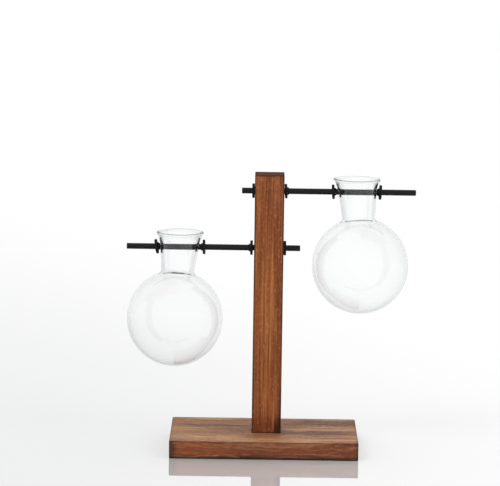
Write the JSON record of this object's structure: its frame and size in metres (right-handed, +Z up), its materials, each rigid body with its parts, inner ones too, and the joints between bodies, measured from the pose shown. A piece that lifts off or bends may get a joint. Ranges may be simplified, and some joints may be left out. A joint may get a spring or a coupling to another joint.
{
  "type": "propagation vase",
  "caption": "Wooden T stand with black cross rods that carry round glass bulbs by their drilled, flared necks, held by rubber rings, for rooting cuttings in water.",
  "frame": {"origin": "middle of the board's underside", "axes": "+X along the rods towards the upper bulb, +Y to the back, +Z up"},
  "size_m": [0.2457, 0.1, 0.2375],
  "materials": {
    "board_wood": "stained and oiled softwood, flat grain, satin",
    "post_wood": "stained and oiled softwood, straight grain, satin",
    "screw_steel": "zinc-plated wood screw",
    "black_rod": "satin black coating on steel rod",
    "clear_glass": "clear blown glass, fire-polished rim",
    "black_rubber": "matte black moulded rubber"
  },
  "bodies": {
    "stand": {"base_board": "board_wood", "post": "post_wood", "post_screws": "screw_steel"},
    "upper_post_rings": {"upper_post_ring_left": "black_rubber", "upper_post_ring_right": "black_rubber"},
    "upper_rod": {"upper_rod": "black_rod"},
    "upper_inner_ring": {"upper_neck_ring_inner": "black_rubber"},
    "upper_bulb": {"upper_bulb": "clear_glass"},
    "upper_outer_ring": {"upper_neck_ring_outer": "black_rubber"},
    "lower_post_rings": {"lower_post_ring_left": "black_rubber", "lower_post_ring_right": "black_rubber"},
    "lower_rod": {"lower_rod": "black_rod"},
    "lower_inner_ring": {"lower_neck_ring_inner": "black_rubber"},
    "lower_bulb": {"lower_bulb": "clear_glass"},
    "lower_outer_ring": {"lower_neck_ring_outer": "black_rubber"}
  },
  "joints": [
    {"name": "upper_rod_turn", "type": "hinge", "parent": "stand", "child": "upper_post_rings", "pos_m": [0.002, 0, 0.2227], "axis": [1, 0, 0], "continuous": true},
    {"name": "upper_rod_slide", "type": "slide", "parent": "upper_post_rings", "child": "upper_rod", "axis": [1, 0, 0], "range_m": [-0.012, 0.008]},
    {"name": "upper_bulb_slide", "type": "slide", "parent": "upper_rod", "child": "upper_inner_ring", "axis": [1, 0, 0], "range_m": [-0.006, 0.012]},
    {"name": "upper_bulb_swing", "type": "hinge", "parent": "upper_inner_ring", "child": "upper_bulb", "pos_m": [0.0768, 0, 0.2227], "axis": [1, 0, 0], "continuous": true},
    {"name": "upper_outer_ring_slide", "type": "slide", "parent": "upper_bulb", "child": "upper_outer_ring", "axis": [1, 0, 0], "range_m": [0, 0.014]},
    {"name": "lower_rod_turn", "type": "hinge", "parent": "stand", "child": "lower_post_rings", "pos_m": [0.002, 0, 0.1737], "axis": [1, 0, 0], "continuous": true},
    {"name": "lower_rod_slide", "type": "slide", "parent": "lower_post_rings", "child": "lower_rod", "axis": [1, 0, 0], "range_m": [-0.012, 0.011]},
    {"name": "lower_bulb_slide", "type": "slide", "parent": "lower_rod", "child": "lower_inner_ring", "axis": [1, 0, 0], "range_m": [-0.01, 0.006]},
    {"name": "lower_bulb_swing", "type": "hinge", "parent": "lower_inner_ring", "child": "lower_bulb", "pos_m": [-0.0743, 0, 0.1737], "axis": [1, 0, 0], "continuous": true},
    {"name": "lower_outer_ring_slide", "type": "slide", "parent": "lower_bulb", "child": "lower_outer_ring", "axis": [1, 0, 0], "range_m": [-0.012, 0]}
  ]
}
